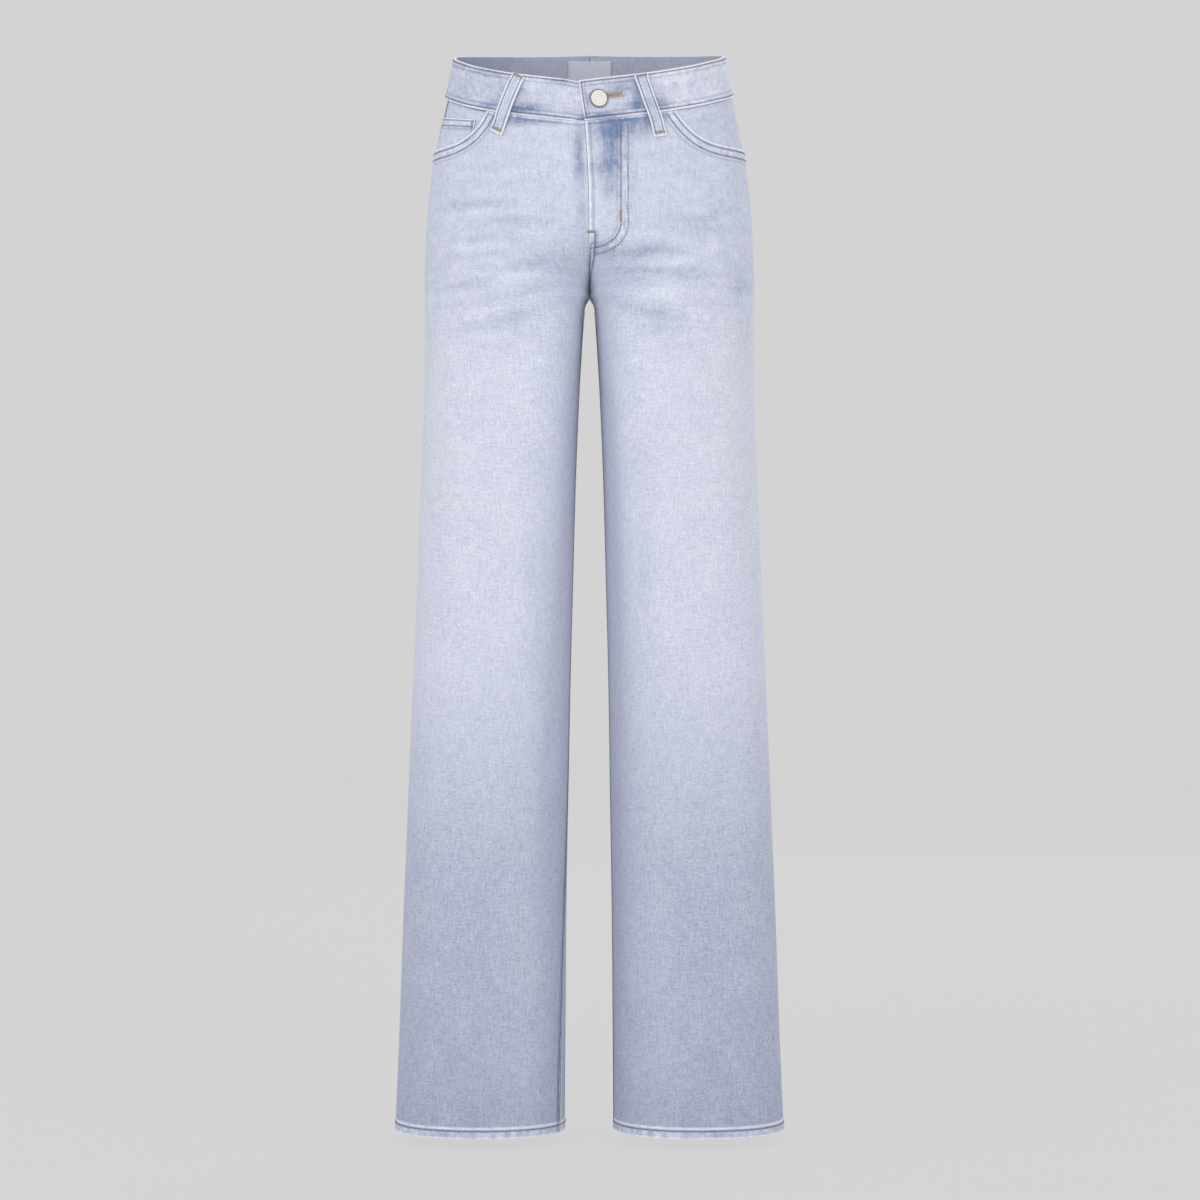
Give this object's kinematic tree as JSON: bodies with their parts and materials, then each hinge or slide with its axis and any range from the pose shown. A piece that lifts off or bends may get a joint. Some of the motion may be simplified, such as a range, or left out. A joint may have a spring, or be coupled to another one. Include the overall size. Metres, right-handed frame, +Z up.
{
  "type": "wide-leg jeans, filled out with no wearer",
  "caption": "Wide-leg light-wash jeans, filled out as worn, with button waistband, fly, curved front pockets, coin pocket, yoke, back patch pockets and belt loops.",
  "frame": {"origin": "centre of the waist opening, at half the height of the waistband at the sides", "axes": "+Z up, -Y out of the front, +X towards the wearer's left"},
  "size_m": [0.3884, 0.2396, 1.0875],
  "materials": {
    "denim": "light-washed blue denim twill, soft and matte",
    "pocketing": "off-white cotton pocketing",
    "label": "grey satin weave, blank",
    "zip_tape": "woven tape",
    "button": "cream enamel on metal, blank"
  },
  "bodies": {
    "root": {"front_left": "denim", "front_right": "denim", "back_left": "denim", "back_right": "denim", "yoke_left": "denim", "yoke_right": "denim", "waistband_left": "denim", "waistband_right": "denim", "pocket_facing_left": "denim", "pocket_facing_right": "denim", "coin_pocket": "denim", "fly_facing": "denim", "fly_shield": "denim", "back_pocket_left": "denim", "back_pocket_right": "denim", "belt_loop_front_left": "denim", "belt_loop_front_right": "denim", "belt_loop_back_left": "denim", "belt_loop_back_right": "denim", "belt_loop_back": "denim", "pocket_bag_left": "pocketing", "pocket_bag_right": "pocketing", "back_label": "label", "zip_tape": "zip_tape", "shank_button": "button"}
  },
  "joints": []
}
